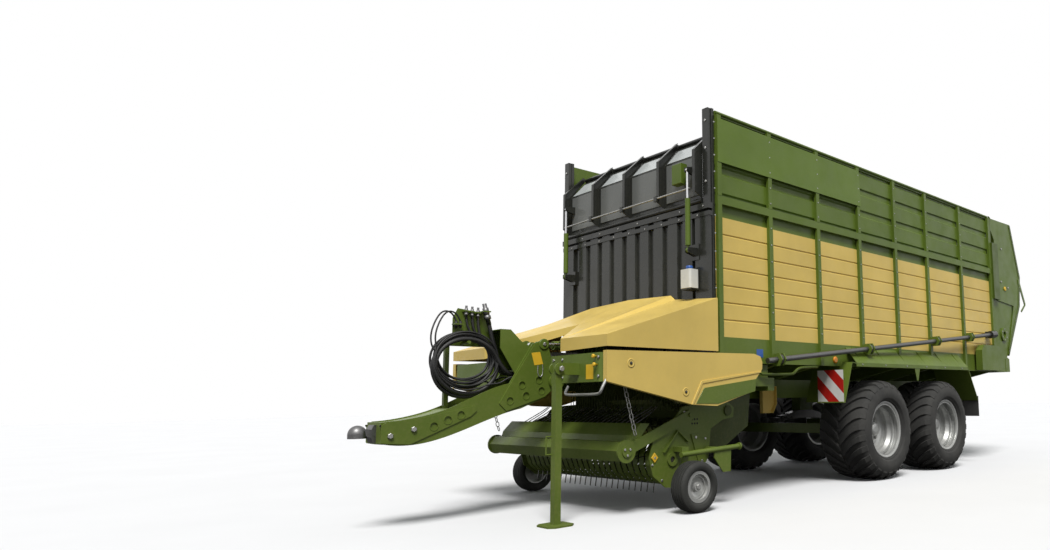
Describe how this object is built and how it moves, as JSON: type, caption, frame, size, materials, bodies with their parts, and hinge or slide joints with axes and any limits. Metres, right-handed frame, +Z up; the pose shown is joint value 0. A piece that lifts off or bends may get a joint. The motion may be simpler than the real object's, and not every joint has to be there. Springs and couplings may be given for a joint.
{
  "type": "forage loader wagon",
  "caption": "Tandem-axle forage loader wagon with a tined pick-up, feed rotor, scraper floor, dosing rollers and a lifting tailgate.",
  "frame": {"origin": "on the ground under the middle of the whole wagon's box", "axes": "+Z up, -Y towards the hitch, +X towards the wagon's left side"},
  "size_m": [2.544, 9.305, 3.459],
  "materials": {
    "green_paint": "satin, dusty",
    "yellow_paint": "satin",
    "charcoal_paint": "satin",
    "tyre": "matt, dusty",
    "silver_paint": "satin silver",
    "bare_steel": "worn, oiled",
    "chrome": "polished rods",
    "zinc": "galvanised",
    "hose_rubber": "matt",
    "flap_rubber": "matt",
    "board_white": "reflective stripes",
    "white_plastic": "translucent white",
    "lamp_red": "clear lens"
  },
  "bodies": {
    "wagon": {"axles": "green_paint", "leaf_springs": "charcoal_paint", "chassis_frame": "green_paint", "chain_guards": "yellow_paint", "load_floor": "green_paint", "scraper_chains": "bare_steel", "lower_boards": "yellow_paint", "upper_boards": "green_paint", "side_frames": "green_paint", "sign_boards": "green_paint", "front_wall": "charcoal_paint", "head_frame": "green_paint", "gearbox": "charcoal_paint", "feed_channel": "green_paint", "press_chains": "zinc", "hood": "yellow_paint", "mudguards": "green_paint", "hazard_boards": "board_white", "mud_flaps": "flap_rubber", "tail_frame": "green_paint", "gate_mounts": "green_paint", "gear_cover": "green_paint", "shaft_bearings": "charcoal_paint", "canister": "white_plastic", "rear_lamps": "lamp_red"},
    "front_flap": {"front_flap": "charcoal_paint"},
    "flap_barrels": {"flap_barrels": "green_paint"},
    "flap_rods": {"flap_rods": "chrome"},
    "drawbar": {"drawbar": "green_paint", "hitch_cup": "bare_steel", "hose_coil": "hose_rubber", "hose_leads": "hose_rubber", "hose_couplers": "bare_steel"},
    "drawbar_barrels": {"drawbar_barrels": "green_paint"},
    "drawbar_rods": {"drawbar_rods": "chrome"},
    "parking_stand": {"parking_stand": "green_paint"},
    "feed_rotor": {"feed_rotor": "green_paint"},
    "pickup": {"pickup_frame": "green_paint", "pickup_bands": "green_paint"},
    "pickup_reel": {"pickup_reel": "charcoal_paint"},
    "crop_press": {"crop_press": "green_paint"},
    "side_cover_left": {"side_cover_left": "yellow_paint"},
    "side_cover_right": {"side_cover_right": "yellow_paint"},
    "side_shaft": {"side_shaft": "bare_steel"},
    "dosing_roller_low": {"dosing_roller_low": "green_paint"},
    "dosing_roller_high": {"dosing_roller_high": "green_paint"},
    "tailgate": {"tailgate": "green_paint"},
    "wheel_front_left": {"tyre_front_left": "tyre", "rim_front_left": "silver_paint"},
    "wheel_front_right": {"tyre_front_right": "tyre", "rim_front_right": "silver_paint"},
    "wheel_rear_left": {"tyre_rear_left": "tyre", "rim_rear_left": "silver_paint"},
    "wheel_rear_right": {"tyre_rear_right": "tyre", "rim_rear_right": "silver_paint"},
    "gauge_wheel_left": {"gauge_tyre_left": "tyre", "gauge_rim_left": "silver_paint"},
    "gauge_wheel_right": {"gauge_tyre_right": "tyre", "gauge_rim_right": "silver_paint"}
  },
  "joints": [
    {"name": "wheel_front_left_spin", "type": "hinge", "parent": "wagon", "child": "wheel_front_left", "pos_m": [0.966, 0.3575, 0.533], "axis": [1, 0, 0], "continuous": true},
    {"name": "wheel_front_right_spin", "type": "hinge", "parent": "wagon", "child": "wheel_front_right", "pos_m": [-0.966, 0.3575, 0.533], "axis": [1, 0, 0], "continuous": true},
    {"name": "wheel_rear_left_spin", "type": "hinge", "parent": "wagon", "child": "wheel_rear_left", "pos_m": [0.966, 1.7275, 0.533], "axis": [1, 0, 0], "continuous": true},
    {"name": "wheel_rear_right_spin", "type": "hinge", "parent": "wagon", "child": "wheel_rear_right", "pos_m": [-0.966, 1.7275, 0.533], "axis": [1, 0, 0], "continuous": true},
    {"name": "gauge_wheel_left_spin", "type": "hinge", "parent": "pickup", "child": "gauge_wheel_left", "pos_m": [1.188, -2.4635, 0.203], "axis": [1, 0, 0], "continuous": true},
    {"name": "gauge_wheel_right_spin", "type": "hinge", "parent": "pickup", "child": "gauge_wheel_right", "pos_m": [-1.188, -2.4635, 0.203], "axis": [1, 0, 0], "continuous": true},
    {"name": "drawbar_tilt", "type": "hinge", "parent": "wagon", "child": "drawbar", "pos_m": [0, -3.0775, 1.062], "axis": [1, 0, 0], "range_deg": [-8, 8]},
    {"name": "drawbar_cylinder_swing", "type": "hinge", "parent": "wagon", "child": "drawbar_barrels", "pos_m": [0, -2.5775, 1.4], "axis": [1, 0, 0], "range_deg": [-3, 3]},
    {"name": "drawbar_cylinder_slide", "type": "slide", "parent": "drawbar_barrels", "child": "drawbar_rods", "axis": [0, -0.9992, -0.0406], "range_m": [-0.05, 0.05]},
    {"name": "front_flap_tilt", "type": "hinge", "parent": "wagon", "child": "front_flap", "pos_m": [0, -2.1675, 2.632], "axis": [1, 0, 0], "range_deg": [0, 60]},
    {"name": "flap_cylinder_swing", "type": "hinge", "parent": "wagon", "child": "flap_barrels", "pos_m": [0, -2.2725, 2.185], "axis": [1, 0, 0], "range_deg": [0, 25]},
    {"name": "flap_cylinder_slide", "type": "slide", "parent": "flap_barrels", "child": "flap_rods", "axis": [0, 0, 1], "range_m": [-0.2, 0]},
    {"name": "parking_stand_swing", "type": "hinge", "parent": "wagon", "child": "parking_stand", "pos_m": [0.82, -3.5035, 1.135], "axis": [1, 0, 0], "range_deg": [-90, 0]},
    {"name": "pickup_lift", "type": "hinge", "parent": "wagon", "child": "pickup", "pos_m": [0, -1.8475, 0.79], "axis": [-1, 0, 0], "range_deg": [0, 15]},
    {"name": "press_lift", "type": "hinge", "parent": "pickup", "child": "crop_press", "pos_m": [0, -2.3165, 0.763], "axis": [-1, 0, 0], "range_deg": [0, 6]},
    {"name": "pickup_reel_spin", "type": "hinge", "parent": "pickup", "child": "pickup_reel", "pos_m": [0, -2.5075, 0.41], "axis": [1, 0, 0], "continuous": true},
    {"name": "feed_rotor_spin", "type": "hinge", "parent": "wagon", "child": "feed_rotor", "pos_m": [0, -1.8475, 0.79], "axis": [1, 0, 0], "continuous": true},
    {"name": "side_cover_left_lid", "type": "hinge", "parent": "wagon", "child": "side_cover_left", "pos_m": [1.182, -2.6475, 1.254], "axis": [0, -1, 0], "range_deg": [0, 70]},
    {"name": "side_cover_right_lid", "type": "hinge", "parent": "wagon", "child": "side_cover_right", "pos_m": [-1.182, -2.6475, 1.254], "axis": [0, 1, 0], "range_deg": [0, 70]},
    {"name": "side_shaft_spin", "type": "hinge", "parent": "wagon", "child": "side_shaft", "pos_m": [1.206, -1.5575, 1.226], "axis": [0, 0.9949, 0.1005], "continuous": true},
    {"name": "dosing_roller_low_spin", "type": "hinge", "parent": "wagon", "child": "dosing_roller_low", "pos_m": [0, 3.8125, 1.745], "axis": [1, 0, 0], "continuous": true},
    {"name": "dosing_roller_high_spin", "type": "hinge", "parent": "wagon", "child": "dosing_roller_high", "pos_m": [0, 3.9025, 2.3], "axis": [1, 0, 0], "continuous": true},
    {"name": "tailgate_lift", "type": "hinge", "parent": "wagon", "child": "tailgate", "pos_m": [0, 3.4925, 3.4], "axis": [1, 0, 0], "range_deg": [0, 75]}
  ],
  "couplings": [
    {"joint": "drawbar_cylinder_swing", "follows": "drawbar_tilt", "ratio": 0.166},
    {"joint": "drawbar_cylinder_slide", "follows": "drawbar_tilt", "m_per_rad": 0.3174},
    {"joint": "flap_cylinder_swing", "follows": "front_flap_tilt", "ratio": 0.345},
    {"joint": "flap_cylinder_slide", "follows": "front_flap_tilt", "m_per_rad": -0.17}
  ]
}
